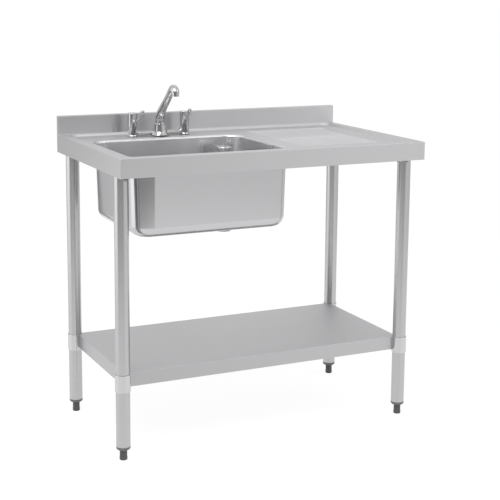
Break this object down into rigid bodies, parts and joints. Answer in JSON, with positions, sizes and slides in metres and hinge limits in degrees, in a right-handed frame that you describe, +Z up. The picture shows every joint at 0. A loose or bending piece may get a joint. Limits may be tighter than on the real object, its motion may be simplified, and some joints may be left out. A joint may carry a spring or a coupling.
{
  "type": "kitchen sink unit",
  "caption": "Free-standing stainless steel sink unit with deep bowl, fluted drainer, upstand, swivel mixer tap, round legs, levelling feet and lower shelf.",
  "frame": {"origin": "on the floor, below the middle of the worktop", "axes": "+Z up, +X to the right along the front, the front faces -Y"},
  "size_m": [1, 0.6, 1.0671],
  "materials": {
    "worktop_steel": "satin, ground along its length",
    "bowl_steel": "satin",
    "frame_steel": "satin",
    "leg_steel": "satin, ground along its length",
    "shelf_steel": "satin, ground along its length",
    "polished_steel": "polished",
    "fixing_steel": "bright",
    "chrome": "mirror",
    "brass": "machined",
    "rubber": "matt",
    "foot_plastic": "moulded",
    "white_plastic": "moulded",
    "grey_plastic": "moulded"
  },
  "bodies": {
    "frame": {"worktop": "worktop_steel", "bowl": "bowl_steel", "side_channel_left": "frame_steel", "side_channel_right": "frame_steel", "drainer_channel": "frame_steel", "leg_screws": "fixing_steel", "shelf": "shelf_steel", "shelf_channel": "frame_steel", "sleeve_screws": "fixing_steel", "waste_body": "chrome", "waste_seals": "rubber", "waste_nut": "white_plastic", "tap_body": "chrome", "tap_seals": "rubber", "tap_washers": "fixing_steel", "tap_backnuts": "brass", "hot_valve": "brass", "cold_valve": "brass", "leg_front_left": "leg_steel", "leg_socket_front_left": "frame_steel", "shelf_sleeve_front_left": "frame_steel", "foot_insert_front_left": "foot_plastic", "leg_front_right": "leg_steel", "leg_socket_front_right": "frame_steel", "shelf_sleeve_front_right": "frame_steel", "foot_insert_front_right": "foot_plastic", "leg_back_left": "leg_steel", "leg_socket_back_left": "frame_steel", "shelf_sleeve_back_left": "frame_steel", "foot_insert_back_left": "foot_plastic", "leg_back_right": "leg_steel", "leg_socket_back_right": "frame_steel", "shelf_sleeve_back_right": "frame_steel", "foot_insert_back_right": "foot_plastic"},
    "spout": {"spout": "chrome", "spout_rings": "rubber", "aerator": "grey_plastic"},
    "hot_lever": {"hot_lever": "chrome", "hot_spindle": "brass"},
    "cold_lever": {"cold_lever": "chrome", "cold_spindle": "brass"},
    "standpipe": {"standpipe_tube": "polished_steel", "standpipe_cap": "polished_steel", "standpipe_bung": "rubber"},
    "foot_front_left": {"foot_stem_front_left": "foot_plastic"},
    "foot_front_right": {"foot_stem_front_right": "foot_plastic"},
    "foot_back_left": {"foot_stem_back_left": "foot_plastic"},
    "foot_back_right": {"foot_stem_back_right": "foot_plastic"}
  },
  "joints": [
    {"name": "spout_swivel", "type": "hinge", "parent": "frame", "child": "spout", "pos_m": [-0.188, 0.195, 0.93], "axis": [0, 0, 1], "range_deg": [-90, 90]},
    {"name": "hot_lever_turn", "type": "hinge", "parent": "frame", "child": "hot_lever", "pos_m": [-0.278, 0.207, 0.93], "axis": [0, 0, -1], "range_deg": [0, 90]},
    {"name": "cold_lever_turn", "type": "hinge", "parent": "frame", "child": "cold_lever", "pos_m": [-0.098, 0.207, 0.93], "axis": [0, 0, 1], "range_deg": [0, 90]},
    {"name": "standpipe_lift", "type": "slide", "parent": "frame", "child": "standpipe", "axis": [0, 0, 1], "range_m": [0, 0.25]},
    {"name": "foot_front_left_height", "type": "slide", "parent": "frame", "child": "foot_front_left", "axis": [0, 0, 1], "range_m": [-0.02, 0.02]},
    {"name": "foot_front_right_height", "type": "slide", "parent": "frame", "child": "foot_front_right", "axis": [0, 0, 1], "range_m": [-0.02, 0.02]},
    {"name": "foot_back_left_height", "type": "slide", "parent": "frame", "child": "foot_back_left", "axis": [0, 0, 1], "range_m": [-0.02, 0.02]},
    {"name": "foot_back_right_height", "type": "slide", "parent": "frame", "child": "foot_back_right", "axis": [0, 0, 1], "range_m": [-0.02, 0.02]}
  ]
}
